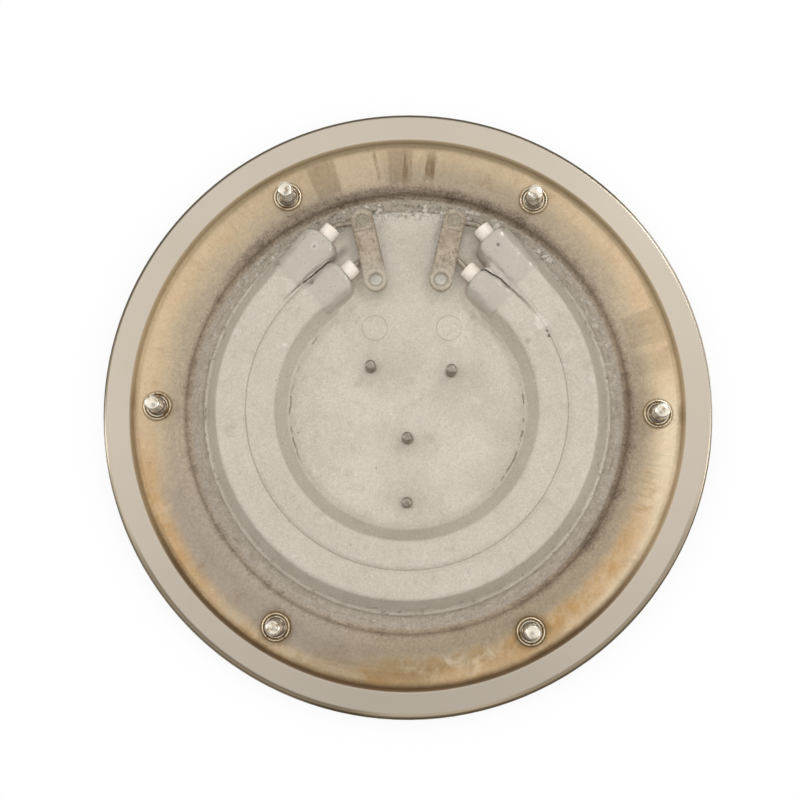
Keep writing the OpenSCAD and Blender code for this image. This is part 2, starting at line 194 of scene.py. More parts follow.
class Finish:
    """A material with one principled shader, built from fields over the frame's millimetres."""

    def __init__(self, name, metallic=0.0, roughness=0.5, specular=0.5):
        self.material = bpy.data.materials.new(name)
        self.material.use_nodes = True
        self.tree = self.material.node_tree
        self.shader = self.tree.nodes["Principled BSDF"]
        self.shader.inputs["Metallic"].default_value = metallic
        self.shader.inputs["Roughness"].default_value = roughness
        self.shader.inputs["Specular IOR Level"].default_value = specular
        coordinates = self.tree.nodes.new("ShaderNodeTexCoord")
        scale = self.tree.nodes.new("ShaderNodeVectorMath")
        scale.operation = "SCALE"
        scale.inputs["Scale"].default_value = 1 / MM
        self.tree.links.new(coordinates.outputs["Object"], scale.inputs[0])
        self.place = scale.outputs[0]
        split = self.tree.nodes.new("ShaderNodeSeparateXYZ")
        self.tree.links.new(self.place, split.inputs[0])
        self.x, self.y, self.z = (Field(self.tree, s) for s in split.outputs)
        self.r = (self.x * self.x + self.y * self.y).math("SQRT")

    def along(self, element):
        """The same two distances as the function along, as fields in millimetres."""
        turn = math.radians(element["turn"])
        x = (self.x * math.cos(turn) - self.y * math.sin(turn)).math("ABSOLUTE")
        y = self.x * math.sin(turn) + self.y * math.cos(turn)
        half = math.radians(element["open"])
        past = y * math.sin(half) - x * math.cos(half)
        straight = past.math("GREATER_THAN", 0.0)
        side = x * math.sin(half) + y * math.cos(half)
        reach = side * straight + self.r * straight.inverse()
        return past, reach - element["r"] / MM

    def around(self, degrees, width, soft):
        """1 within an angle of a direction from the centre, falling to 0 over soft degrees."""
        return self.toward(degrees).rise(
            math.cos(math.radians(width + soft)), math.cos(math.radians(width)))

    def brushed(self, around, outwards, detail=4.0, rough=0.6, seed=0.0):
        """Noise in streaks that run round the centre or away from it, sized in millimetres."""
        join = self.tree.nodes.new("ShaderNodeCombineXYZ")
        reach = self.r.math("MAXIMUM", 0.5)
        for slot, value in enumerate((self.x / reach * (100 / around),
                                      self.y / reach * (100 / around), self.r * (1 / outwards))):
            self.tree.links.new(value.socket, join.inputs[slot])
        return self.noise(1, detail, rough, seed=seed, source=join.outputs[0])

    def toward(self, degrees):
        """Cosine of the angle between this point's direction from the centre and a given one."""
        a = math.radians(degrees)
        return (self.x * math.cos(a) + self.y * math.sin(a)) / self.r.math("MAXIMUM", 0.5)

    def noise(self, size, detail=3.0, rough=0.55, twist=0.0, seed=0.0, source=None):
        """Noise of about 0 to 1 whose lumps are size millimetres across."""
        node = self.tree.nodes.new("ShaderNodeTexNoise")
        node.noise_dimensions = "4D"
        node.inputs["W"].default_value = seed
        node.inputs["Scale"].default_value = 1 / size
        node.inputs["Detail"].default_value = detail
        node.inputs["Roughness"].default_value = rough
        node.inputs["Distortion"].default_value = twist
        self.tree.links.new(source or self.place, node.inputs["Vector"])
        return Field(self.tree, node.outputs[0])

    def cells(self, size, seed=0.0, spread=1.0):
        """Distance to the nearest of scattered points, in units of size."""
        node = self.tree.nodes.new("ShaderNodeTexVoronoi")
        node.voronoi_dimensions = "4D"
        node.inputs["W"].default_value = seed
        node.inputs["Scale"].default_value = 1 / size
        node.inputs["Randomness"].default_value = spread
        self.tree.links.new(self.place, node.inputs["Vector"])
        return Field(self.tree, node.outputs["Distance"])

    def mix(self, first, second, amount, blend="MIX"):
        node = self.tree.nodes.new("ShaderNodeMix")
        node.data_type = "RGBA"
        node.blend_type = blend
        node.clamp_factor = True
        for slot, value in ((node.inputs[6], first), (node.inputs[7], second)):
            if isinstance(value, tuple):
                slot.default_value = linear(value)
            else:
                self.tree.links.new(value, slot)
        if isinstance(amount, Field):
            self.tree.links.new(amount.socket, node.inputs[0])
        else:
            node.inputs[0].default_value = amount
        return node.outputs[2]

    def shade(self, colour, amount):
        """Scales a colour by a field that is 1 where nothing changes."""
        node = self.tree.nodes.new("ShaderNodeVectorMath")
        node.operation = "SCALE"
        self.tree.links.new(colour, node.inputs[0])
        self.tree.links.new(amount.socket, node.inputs["Scale"])
        return node.outputs[0]

    def paint(self, colour):
        self.tree.links.new(colour, self.shader.inputs["Base Color"])

    def set_roughness(self, field):
        self.tree.links.new(field.socket, self.shader.inputs["Roughness"])

    def set_metallic(self, field):
        self.tree.links.new(field.socket, self.shader.inputs["Metallic"])

    def relief(self, height, depth=0.1):
        """Bump from a height field, in parts of depth millimetres."""
        node = self.tree.nodes.new("ShaderNodeBump")
        node.inputs["Strength"].default_value = 1.0
        node.inputs["Distance"].default_value = depth * MM
        self.tree.links.new(height.socket, node.inputs["Height"])
        self.tree.links.new(node.outputs[0], self.shader.inputs["Normal"])


MARKS = [polar(36.85, 62.9), polar(35.3, 111.1)]

# Small lumps of braze (positive) and dark spots (negative) on the casting: x, y, size and strength; the light tone
# of the lump on the left inner wall at (-47.5, 24.9) is a painted highlight
BLOBS = (
    (52.6, 33.2, 3.2, 0.5), (51.6, 36.0, 1.8, 0.45), (48.9, 29.4, 1.5, 0.3), (54.9, 30.4, 0.7, -0.9), (55.7, 28.3, 0.6, -0.9),
    (-37.6, 50.2, 1.5, -0.5), (-36.6, 64.4, 0.8, -0.8), (-36.6, 64.4, 2.2, 0.3), (-47.5, 24.9, 1.1, 0.7),
    (36.1, 64.8, 0.6, -0.7), (47.5, 26.5, 1.4, -0.25),
)

# Materials

RIM = (219, 207, 191)
GOLD = (220, 194, 160)
PALE_GOLD = (206, 186, 156)
AMBER = (206, 164, 112)
GREY_BEIGE = (186, 170, 148)
SMOKE = (160, 146, 126)
BROWN = (154, 132, 98)
DARK_BROWN = (92, 68, 42)
OLIVE = (150, 134, 104)
SOOT = (112, 97, 82)
FLOOR_RING = (172, 161, 146)


def pan_finish():
    f = Finish("pan_steel")
    wave = f.noise(26, detail=4, seed=1) - 0.5
    fine = f.noise(5, detail=5, rough=0.6, seed=2) - 0.5
    grain = f.noise(0.9, detail=4, rough=0.7, seed=3) - 0.5
    cloud = f.noise(11, detail=6, rough=0.62, twist=0.4, seed=5)
    flame = f.brushed(7, 10, detail=5, rough=0.62, seed=6)
    streak = f.brushed(1.6, 14, detail=4, rough=0.6, seed=7)
    brush = f.brushed(16, 1.1, detail=4, rough=0.6, seed=8)
    below = f.toward(270).power(1.0)
    left_below = f.around(228, 10, 34)
    low_stain = f.around(262, 8, 10)
    haze = f.noise(9, detail=5, rough=0.6, twist=0.8, seed=26)
    dashes = f.brushed(9, 60, detail=2, seed=27).rise(0.50, 0.62)
    above = f.toward(88).power(2.0)

    # The heat tint starts further out towards the bottom, with a flame-like edge
    edge = f.r + (flame - 0.5) * 5.0 + (haze - 0.5) * 8.0 + wave * 6.0 - below * 3.0 - left_below * 4.5
    gold = edge.rise(90.5, 98.5)
    tint = f.mix(GREY_BEIGE, PALE_GOLD, gold)
    tint = f.mix(tint, GOLD, edge.rise(96, 103) * (cloud * 0.9 + 0.35).clamped())
    tint = f.mix(tint, AMBER, cloud.rise(0.42, 0.60) * edge.rise(95, 103) * (below * 0.9 + 0.16))
    tint = f.mix(tint, AMBER, f.around(206, 8, 16) * f.r.rise(97, 104) * 0.6)
    tint = f.mix(tint, (182, 150, 106), f.around(292, 20, 14) * haze.rise(0.40, 0.58) * f.r.rise(94, 99) * 0.85)
    tint = f.mix(tint, (226, 198, 160), f.around(290, 14, 16) * f.r.rise(101, 105) * 0.5)
    # Painted highlight: a pale patch on the gold zone at the lower right
    tint = f.mix(tint, (246, 226, 196), f.around(338, 18, 18) * f.r.rise(97, 103) * 0.75)
    tint = f.mix(tint, (192, 160, 116), haze.rise(0.50, 0.64) * f.around(316, 22, 14) * f.r.band(95, 104, 3) * 0.6)
    tint = f.mix(tint, (234, 212, 180), haze.rise(0.48, 0.34) * f.r.band(97, 106, 2) * (below * 0.4 + 0.1))
    warm = (haze * 1.8).clamped() * f.around(314, 14, 14) * (f.r + wave * 6.0).band(96.5, 104.5, 2.5)
    tint = f.mix(tint, (204, 162, 106), warm * 0.7)
    fan = f.brushed(1.3, 16, detail=3, rough=0.6, seed=28).rise(0.52, 0.62)
    tint = f.mix(tint, (150, 124, 92), fan * f.around(341, 2, 9) * f.r.band(95, 101, 4) * 0.28)
    # Painted highlight: a pale patch on the gold zone at the left, opposite the one at the lower right
    tint = f.mix(tint, (228, 202, 168), f.around(158, 12, 16) * f.r.rise(99, 104) * 0.5)
    tint = f.mix(tint, SMOKE, above * (cloud * 0.8 + 0.1).clamped() * 0.62)
    tint = f.mix(tint, SMOKE, f.around(62, 16, 26) * f.r.rise(104, 96) * 0.35)
    tint = f.mix(tint, (176, 163, 148), f.around(228, 22, 16) * (f.r + wave * 5.0).rise(104, 100) * 0.7)
    tint = f.mix(tint, (158, 140, 116), f.around(318, 46, 24) * f.r.rise(98, 92) * 0.5)
    tint = f.mix(tint, BROWN, streak.rise(0.54, 0.70) * (above * 0.16 + 0.10) * f.r.rise(93, 99))
    tint = f.mix(tint, (150, 124, 92), flame.rise(0.55, 0.72) * 0.40 * f.r.rise(92, 97))
    tint = f.mix(tint, (228, 206, 172), flame.rise(0.44, 0.30) * 0.4 * f.r.rise(97, 102))
    tint = f.mix(tint, (136, 108, 72), low_stain * (brush * 0.9 + 0.1) * f.r.rise(92, 102) * 0.62)
    tint = f.mix(tint, (212, 190, 162), f.around(101, 4, 2) * f.r.band(92, 106, 2) * 0.5)
    for degrees, width, level in ((91.5, 2.4, 0.54), (109.5, 2.8, 0.50), (19, 3.5, 0.32), (11, 2, 0.2)):
        spread = f.around(degrees, width, 0.7) * f.r.band(92, 106, 1.2)
        tint = f.mix(tint, (142, 122, 96), spread * (streak * 0.9 + 0.4).clamped() * level)
    drip = streak.rise(0.42, 0.58) * (f.around(84.5, 0.4, 1.6) + f.around(90, 0.3, 1.4) * 0.8)
    tint = f.mix(tint, (118, 94, 62), drip * f.r.band(93, 104, 4) * 0.7)
    tint = f.mix(tint, (122, 96, 66), streak.rise(0.5, 0.62) * f.around(97.5, 1.2, 1.4)
                 * f.r.band(94, 106, 2) * 0.5)

    # Soft brown line at the foot of the rim step, painted shade and dark reflection in the step's fillet, olive
    # towards the top and darkest along the lower side
    line = f.r + wave * 1.6 + fine * 1.2
    brown = f.mix(tint, BROWN, line.rise(105.6, 108.8) * 0.9)
    brown = f.mix(brown, OLIVE, (above * 0.9).clamped() * line.rise(105, 107.6) * 0.8)
    dark = f.around(245, 16, 30) + f.around(292, 16, 26) * 0.95 + f.around(200, 10, 18) * 0.35
    brown = f.mix(brown, DARK_BROWN, dark.clamped() * line.rise(105.6, 108.6) * 0.9)
    surface = brown

    # Soot round the floor, widest at the top, with specks
    wide = f.around(128, 4, 18) + f.around(342, 10, 20) * 0.8
    outer = f.r - above * 1.7 - wide * 1.6 + (flame - 0.5) * 3.4 + grain * 3.4
    soot = outer.rise(90.6, 87.4) * f.r.rise(84.9, 86.2)
    speck = f.noise(1.0, detail=5, rough=0.75, seed=9)
    weight = above * 0.54 + 0.12 + dashes * 0.26 + f.around(340, 14, 24) * 0.34
    surface = f.mix(surface, SOOT, soot * (weight + (speck - 0.5) * 2.4).clamped())
    surface = f.mix(surface, (76, 64, 52), soot * speck.rise(0.56, 0.66) * (above * 0.6 + 0.2))
    surface = f.mix(surface, (170, 154, 136), soot * speck.rise(0.45, 0.36) * 0.5)
    stray = f.noise(2.2, detail=6, rough=0.8, seed=23).rise(0.56, 0.66)
    surface = f.mix(surface, (96, 84, 70), stray * f.r.band(83, 90.5, 1.6) * 0.5)
    surface = f.mix(surface, FLOOR_RING, f.r.rise(86.1, 85.1))
    crust = f.brushed(7, 1.2, detail=5, rough=0.7, seed=10).rise(0.5, 0.66) * f.r.rise(86.2, 84)
    surface = f.mix(surface, (124, 111, 95), crust * (above * 0.3 + 0.5))
    light_crust = f.noise(2.6, 6, 0.75, seed=24).rise(0.50, 0.57) * f.r.rise(86.4, 84.4)
    surface = f.mix(surface, (214, 207, 195), light_crust * (f.toward(80).clamped() * 0.6 + 0.15))
    gaps = f.noise(2.2, 6, 0.75, seed=25).rise(0.55, 0.62) * f.r.rise(87, 85)
    surface = f.mix(surface, (98, 86, 72), gaps * (above * 0.7 + 0.1))

    # A darker ring round each stud's foot, spreading further on the lower side: partly heat stain and partly
    # painted shade
    for i in range(STUD_COUNT):
        stud = polar(STUD_PCD / 2 / MM, STUD_TURN + i * 360 / STUD_COUNT)
        near = ((f.x - stud.x) * (f.x - stud.x) + (f.y - stud.y) * (f.y - stud.y)).math("SQRT")
        halo = near.rise(6.5, 5.6) * 0.7 + (near + fine * 5).rise(8.5, 6) * below * 0.45
        surface = f.mix(surface, (118, 96, 66), halo.clamped())

    rim = f.mix(RIM, (208, 196, 178), f.noise(40, detail=2, seed=11))
    surface = f.mix(surface, rim, f.r.rise(109.1, 109.9))
    # Painted reflection: a warm strip on the rounded outer edge of the rim, on the lower side
    surface = f.mix(surface, (196, 172, 134), f.r.rise(117.2, 118.4) * below * 0.6)
    # Painted shade and dark reflection along the rim's outer edge and side wall, strongest over the top and the
    # lower side, and on the rim's last millimetre at the lower left and lower right
    edge_shade = (f.around(112, 62, 16) + f.around(300, 34, 20) * 0.8 + f.around(225, 30, 10) * 0.7)
    surface = f.mix(surface, (82, 70, 48), f.r.rise(118.35, 119.0) * (edge_shade.clamped() * 0.8 + 0.1))
    surface = f.mix(surface, (98, 80, 54), f.r.rise(119.1, 119.7) * f.around(306, 42, 14) * 0.85)
    low_edge_shade = f.around(235, 20, 14) * 0.9 + f.around(315, 16, 14) * 0.6
    surface = f.mix(surface, (96, 80, 58), f.r.band(117.6, 118.7, 0.3) * low_edge_shade.clamped() * 0.75)
    rough_zone = f.r.rise(109.6, 107)
    surface = f.shade(surface, fine * 0.10 * rough_zone + 1.0)
    surface = f.shade(surface, grain * (f.r.rise(101, 90) * 0.50 + 0.54) * rough_zone + 1.0)
    f.paint(surface)

    smooth_rim = f.r.rise(108.8, 110)
    rough = (fine * 0.2 + 0.38) * smooth_rim.inverse() + smooth_rim * 0.30
    step = f.r.band(107.4, 109.6, 0.5)
    f.set_roughness(rough + f.r.rise(95, 88) * 0.30 + step * 0.25)
    f.set_metallic(f.r.rise(86, 93) * 0.62 + 0.36 - step * 0.6)
    height = grain * f.r.rise(98, 88) * 2.2 + light_crust * above * 2.5 + fine * 0.35 * smooth_rim.inverse()
    height = height + (brush - 0.5) * 0.5 * f.r.band(86, 107, 1.5) + wave * 0.6
    f.relief(height, 0.10)
    return f.material


def cast_finish():
    f = Finish("cast_alloy")
    broad = f.noise(22, detail=4, seed=12)
    blotch = f.noise(5, detail=5, rough=0.6, seed=13)
    grain = f.noise(0.6, detail=4, rough=0.7, seed=14)
    wobble = f.noise(3.5, detail=4, seed=15) - 0.5
    breaks = f.noise(4.5, detail=3, rough=0.6, seed=16)
    pits = f.cells(3.2, seed=17).rise(0.15, 0.04) * f.noise(9, seed=18).rise(0.5, 0.6)
    right = f.x.rise(-1, 1)
    inner = ELEMENTS["inner"]
    outer = ELEMENTS["outer"]
    past_in, off_in = f.along(inner)
    past_out, off_out = f.along(outer)
    on_top = f.z.rise(10.4, 11.4)

    colour = f.mix((204, 195, 182), (192, 183, 169), broad.rise(0.35, 0.65))
    colour = f.mix(colour, (198, 189, 176), on_top * 0.5)
    walls = f.z.rise(10.8, 9.6) * f.z.rise(4.0, 5.4)
    colour = f.mix(colour, (200, 192, 180), walls * 0.5)
    colour = f.mix(colour, (174, 164, 148), blotch.rise(0.54, 0.72) * 0.42)
    colour = f.mix(colour, (222, 215, 205), blotch.rise(0.42, 0.26) * 0.34)

    # Barrels, smooth and cool grey, with a fine line of painted shade in the small step where each begins
    barrel = None
    for element, past, off in ((inner, past_in, off_in), (outer, past_out, off_out)):
        start = (element["tail"] - element["barrel"]) / MM
        within = off.math("ABSOLUTE").rise(8.4, 7.6) * past.rise(start - 0.4, start + 0.4)
        step = off.math("ABSOLUTE").rise(6.5, 5.5) * (past + wobble * 1.6).band(start - 0.15, start + 0.15, 0.25)
        colour = f.mix(colour, (158, 150, 138), step * breaks.rise(0.44, 0.60) * 0.4)
        barrel = within if barrel is None else barrel.math("MAXIMUM", within)
    barrel = barrel * f.z.rise(4, 6)
    colour = f.mix(colour, (186, 179, 167), barrel * 0.75)
    smear = f.noise(3, detail=5, rough=0.7, twist=0.8, seed=19)
    colour = f.mix(colour, (160, 154, 143), smear.rise(0.54, 0.67) * barrel * 0.32)

    # The parting between the two elements, open as a crack near their ends, with painted shade in the crack and in
    # the groove between the ribs
    drop = (past_in - 8).math("MAXIMUM", 0.0) * 0.25
    middle = right.inverse() * 7.4 + right * ((-drop) + 5.5)
    parting = (off_in - middle + wobble * 0.9).math("ABSOLUTE")
    crack = parting.rise(0.42, 0.12) * past_in.band(-9, 16.5, 1.5) * f.z.rise(5, 7)
    crack = crack * (past_in.rise(-9, 6) * 0.75 + 0.25) * breaks.rise(0.30, 0.44)
    groove_shade = (off_in + off_out + 0.4 + wobble * 0.6).math("ABSOLUTE").rise(0.9, 0.2)
    groove_shade = groove_shade * past_in.rise(4, -4) * off_in.rise(3, 4.5) * off_in.rise(9, 8)
    colour = f.mix(colour, (142, 132, 119), groove_shade * 0.6)
    colour = f.mix(colour, (54, 47, 40), crack * 0.95)
    # Painted shade in the hollow between the outer nose and the inner barrel
    hollow_shade = off_in.rise(5.5, 8) * off_out.rise(-6, -8) * past_in.band(11, 24, 2) * f.z.rise(7, 5)
    colour = f.mix(colour, (120, 112, 103), hollow_shade * 0.6)

    # Broken dark line along the inner foot of the ribs, painted shade in the crease there, with a wider band of
    # painted shade over the foot
    foot = off_in + RIB_FOOT / MM + wobble * 1.8
    line = foot.math("ABSOLUTE").rise(0.40, 0.10) * past_in.rise(6, 2)
    where = f.around(345, 18, 16) + f.around(172, 22, 16) + f.around(52, 6, 10) * 0.6 + 0.08
    line = line * breaks.rise(0.46, 0.54) * where.clamped()
    colour = f.mix(colour, (106, 98, 89), line * 0.8)
    colour = f.mix(colour, (174, 164, 150), foot.band(-1.6, 1.2, 1.2) * past_in.rise(6, 2) * 0.35)

    ragged = f.noise(1.3, detail=4, rough=0.7, seed=22)
    # Light lumps and dark spots; the light lump on the left inner wall carries a painted highlight
    for x, y, size, shade in BLOBS:
        near = ((f.x - x) * (f.x - x) + (f.y - y) * (f.y - y)).math("SQRT") + (ragged - 0.5) * 4.0
        tone = (84, 76, 68) if shade < 0 else (222, 216, 206)
        colour = f.mix(colour, tone, near.rise(size, size * 0.5) * abs(shade))
    # A thin darker ring at each raised mark, painted shade standing in for the shading of the small relief ring
    for place in MARKS:
        near = ((f.x - place.x) * (f.x - place.x) + (f.y - place.y) * (f.y - place.y)).math("SQRT")
        ring = (near - MARK_D / 2).math("ABSOLUTE").rise(0.32, 0.08) * f.z.rise(5, 4)
        colour = f.mix(colour, (152, 143, 130), ring * breaks.rise(0.34, 0.50) * 0.6)
    # Painted light under each strip's hole, lifting the shade that the strip casts on the casting there
    under = (f.x - STRIP_SHIFT).math("ABSOLUTE") - STRIP_HOLE.x
    under = (under * under + (f.y - STRIP_HOLE.y) * (f.y - STRIP_HOLE.y)).math("SQRT")
    colour = f.mix(colour, (246, 240, 230), under.rise(4, 2.4) * f.z.rise(5, 4) * 0.9)

    dirt = f.noise(2.4, detail=5, rough=0.7, seed=20).rise(0.53, 0.66)
    margin = f.r.rise(75, 79.5) * f.z.rise(8, 4)
    colour = f.mix(colour, (118, 104, 86), dirt * margin * 0.7)
    flakes = f.noise(1.8, detail=6, rough=0.75, seed=21).rise(0.53, 0.60) * (f.toward(90).clamped() * 0.8 + 0.2)
    colour = f.mix(colour, (222, 216, 204), flakes * margin * 0.7)
    colour = f.mix(colour, (104, 94, 82), pits * 0.7)
    colour = f.shade(colour, (grain - 0.5) * (barrel.inverse() * 0.66 + 0.24) + 1.0)
    f.paint(colour)
    shine = smear.rise(0.48, 0.41) * barrel
    f.set_metallic(shine * 0.2 + 0.35)
    f.set_roughness(blotch * 0.16 + 0.48 - shine * 0.28)
    height = grain * (barrel.inverse() * 0.9 + 0.2) + blotch * 1.0 - pits * 1.6 - crack * 4.0
    f.relief(height + smear * barrel * 0.5 + flakes * margin * 2.0 - line * 2.0, 0.10)
    return f.material


def simple_metal(name, colour, stain, metallic, roughness, size, seed, relief=0.04):
    f = Finish(name, metallic=metallic, roughness=roughness)
    patch = f.noise(size, detail=5, rough=0.6, seed=seed)
    grain = f.noise(size / 6, detail=3, rough=0.6, seed=seed + 0.5)
    f.paint(f.mix(colour, stain, patch.rise(0.46, 0.72)))
    f.set_roughness(patch * 0.2 + (roughness - 0.1))
    f.relief(grain + patch * 0.5, relief)
    return f.material


def bead_finish():
    f = Finish("bead_ceramic", roughness=0.62)
    patch = f.noise(2.2, detail=5, rough=0.6, seed=31)
    grain = f.noise(0.35, detail=3, rough=0.6, seed=32)
    colour = f.mix((234, 224, 212), (220, 206, 190), patch.rise(0.45, 0.72))
    colour = f.mix(colour, (150, 120, 96), f.noise(0.9, detail=4, seed=33).rise(0.64, 0.76) * 0.4)
    f.paint(colour)
    f.relief(grain + patch, 0.05)
    return f.material


def strip_finish():
    f = Finish("strip_steel")
    x = (f.x - STRIP_SHIFT).math("ABSOLUTE") - STRIP_HOLE.x
    y = f.y - STRIP_HOLE.y
    ahead = x * STRIP_AHEAD.x + y * STRIP_AHEAD.y
    aside = x * STRIP_AHEAD.y - y * STRIP_AHEAD.x
    ring = (x * x + y * y).math("SQRT")
    patch = f.noise(3.4, detail=5, rough=0.65, seed=41)
    grain = f.noise(0.55, detail=4, rough=0.7, seed=42)
    mottle = f.noise(1.1, detail=5, rough=0.75, seed=44)

    colour = f.mix((178, 165, 146), (150, 136, 116), patch.rise(0.42, 0.62))
    left = f.x.rise(1, -1)
    grey = ahead.rise(9, 4) * (patch * 0.4 + left * 0.5 + 0.1).clamped()
    colour = f.mix(colour, (174, 162, 146), grey)
    pink = aside.math("ABSOLUTE").rise(3.2, 1.2) * ahead.band(10.5, 21.5, 1.5)
    colour = f.mix(colour, (194, 170, 156), pink * mottle.rise(0.42, 0.62) * 0.7)
    colour = f.mix(colour, (180, 166, 146), ahead.band(8, 11.5, 0.6) * 0.6)
    colour = f.mix(colour, (134, 118, 98), aside.math("ABSOLUTE").rise(3.3, 4.3) * ahead.rise(5, 8) * 0.6)
    colour = f.mix(colour, (120, 108, 88), (ahead - 20.4 + (patch - 0.5)).math("ABSOLUTE").rise(0.5, 0.1) * 0.6)
    weld = ((ahead - 24.4) * (ahead - 24.4) + aside * aside).math("SQRT")
    colour = f.mix(colour, (152, 143, 124), weld.rise(3.6, 2.4) * 0.8)
    # Round the hole: a light band that is a painted highlight, painted shade at the hole's edge, and painted shade
    # along the outline of the strip's end
    colour = f.mix(colour, (200, 191, 178), ring.band(3.3, 4.1, 0.4) * 0.45)
    colour = f.mix(colour, (124, 113, 99), ring.band(2.5, 2.85, 0.25) * 0.7)
    colour = f.mix(colour, (124, 112, 96), ring.rise(4.2, 4.6) * ahead.rise(2, -1) * 0.6)
    edge = (aside.math("ABSOLUTE") + (mottle - 0.5) * 0.8).rise(4.1, 4.5)
    colour = f.mix(colour, (110, 98, 82), edge * ahead.rise(1, 4) * 0.55)
    colour = f.mix(colour, (112, 96, 78), mottle.rise(0.52, 0.62) * ahead.rise(2, 6) * 0.6)
    colour = f.mix(colour, (206, 194, 178), mottle.rise(0.45, 0.36) * 0.5)
    colour = f.shade(colour, (grain - 0.5) * 0.8 + 1.0)
    f.paint(colour)
    f.set_metallic(grey * -0.2 + 0.5)
    f.set_roughness(patch * 0.2 + 0.36)
    f.relief(grain * 0.9 + patch + mottle, 0.06)
    return f.material


def collar_finish():
    f = Finish("collar_steel", metallic=1.0, roughness=0.26)
    patch = f.noise(2.6, detail=4, rough=0.6, seed=51)
    colour = f.mix((246, 232, 206), (170, 142, 102), patch.rise(0.47, 0.68))
    f.paint(colour)
    f.set_roughness(patch * 0.16 + 0.2)
    f.relief(f.noise(0.5, seed=52) + patch, 0.04)
    return f.material


def stud_finish():
    f = Finish("stud_steel", metallic=1.0, roughness=0.14)
    patch = f.noise(2.6, detail=4, rough=0.6, seed=65)
    colour = f.mix((248, 238, 220), (160, 136, 104), patch.rise(0.50, 0.70))
    foot = (f.z + (patch - 0.5) * 4.0).rise(8.6, 5.8)
    f.paint(f.mix(colour, (80, 64, 46), foot * 0.85))
    f.set_roughness(patch * 0.16 + 0.1)
    f.relief(f.noise(0.45, seed=65.5) + patch * 0.5, 0.04)
    return f.material


def finishes():
    return {
        "pan_steel": pan_finish(),
        "cast_alloy": cast_finish(),
        "sheath_steel": simple_metal("sheath_steel", (150, 142, 130), (108, 98, 86), 1.0, 0.45, 3, 61),
        "magnesia": simple_metal("magnesia", (232, 228, 218), (206, 198, 184), 0.0, 0.8, 2, 62),
        "coil_wire": simple_metal("coil_wire", (112, 106, 98), (84, 78, 70), 1.0, 0.4, 2, 63),
        "pin_steel": simple_metal("pin_steel", (172, 160, 144), (128, 114, 98), 0.8, 0.36, 2.4, 64),
        "bead_ceramic": bead_finish(),
        "strip_steel": strip_finish(),
        "stud_steel": stud_finish(),
        "collar_steel": collar_finish(),
        "small_stud_steel": simple_metal("small_stud_steel", (168, 160, 147), (128, 118, 104), 0.9, 0.34, 2, 66),
    }


def assign(piece, material):
    piece.data.materials.clear()
    piece.data.materials.append(material)


def dress_nodes(made):
    for part in frame["record"]["subparts"]:
        assign(nodes[part["node"]], made[part["material_slot"]])


# Pieces


def add_piece(name, mesh, material):
    piece = bpy.data.objects.new(name, mesh)
    bpy.context.scene.collection.objects.link(piece)
    assign(piece, material)
    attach(piece, "root")
    return piece


def shade_smooth(mesh):
    mesh.polygons.foreach_set("use_smooth", [True] * len(mesh.polygons))
    mesh.update()


def tail_end(element, side, back):
    """A point on the axis of an element, a little way back from one of its ends, and the axis."""
    open_turn = math.radians(element["open"])
    ahead = Vector((math.cos(open_turn), math.sin(open_turn)))
    start = Vector((-math.sin(open_turn), math.cos(open_turn))) * element["r"]
    place = start + ahead * (element["tail"] - back)
    turn = Matrix.Rotation(math.radians(-element["turn"]), 3, "Z")
    return (
        turn @ Vector((place.x * side, place.y, TUBE_Z)),
        turn @ Vector((ahead.x * side, ahead.y, 0)),
    )


VOXEL = 0.62 * MM
PLUG_BACK = 1.6 * MM


def plugged_casting():
    """The CAD casting with its bores closed a little way in, so that it remeshes as one body."""
    bm = bmesh.new()
    bm.from_mesh(nodes["heat_plate"].data)
    for element in ELEMENTS.values():
        for side in (1, -1):
            place, ahead = tail_end(element, side, PLUG_BACK + 2 * MM)
            turn = ahead.to_track_quat("Z", "Y").to_matrix().to_4x4()
            bmesh.ops.create_cone(
                bm, cap_ends=True, segments=32, radius1=TUBE_D * 0.53, radius2=TUBE_D * 0.53,
                depth=4 * MM, matrix=Matrix.Translation(place) @ turn)
    mesh = bpy.data.meshes.new("casting_source")
    bm.to_mesh(mesh)
    bm.free()
    return mesh


def bell(x, width):
    return math.exp(-(x / width) ** 2)


def cast_relief(p):
    """How far the rough surface of the casting stands out at a point, in metres."""
    q = p / MM
    turn = math.degrees(math.atan2(q.y, q.x)) % 360
    out = 0.10 * noise.noise(q / 7) + 0.06 * noise.noise(q / 2.2)
    if q.z < PLATE_Z / MM - 0.2:
        return out * MM
    past_in, off_in = (v / MM for v in along(ELEMENTS["inner"], p))
    wander = 0.8 * noise.noise(q / 4)
    if q.z < 6 and past_in < 4:
        foot = bell(off_in + RIB_FOOT / MM + 0.3 + wander, 0.8)
        left = bell(turn - 178, 34)
        low_right = 0.5 * bell((turn - 345 + 180) % 360 - 180, 24)
        out += foot * max(0.0, noise.noise(q / 1.9) + 0.25) * (0.2 + 1.1 * left + low_right)
    if q.z > 6 and -10 < past_in < 18:
        middle = 7.4 if q.x < 0 else 5.5 - 0.25 * max(0.0, past_in - 8)
        depth = 0.2 + 0.5 * min(1.0, max(0.0, (past_in + 8) / 14))
        out -= depth * bell(off_in - middle + wander * 0.5, 0.55)
    for element in ELEMENTS.values():
        past, off = (v / MM for v in along(element, p))
        start = (element["tail"] - element["barrel"]) / MM
        if q.z > 8 and abs(off) < 7 and abs(past - start) < 3:
            out -= 0.10 * bell(past - start + wander, 0.5)
        if q.z > 6 and abs(off) < 8.4 and past > start + 1:
            out += 0.42 * noise.noise(q / 5.5 + Vector((9, 0, 0))) - 0.25 * bell(abs(off) - 6.6, 1.6)
    if math.hypot(q.x, q.y) > 76 and q.z < 7:
        out += 0.45 * max(0.0, noise.noise(q / 2.4 + Vector((0, 7, 0)))) * (1.0 if q.y > 40 else 0.35)
    for x, y, size, strength in BLOBS:
        near = math.hypot(q.x - x, q.y - y)
        if near < 3 * size:
            out += (0.55 if strength > 0 else -0.5) * abs(strength) * bell(near, size * 0.7)
    return out * MM


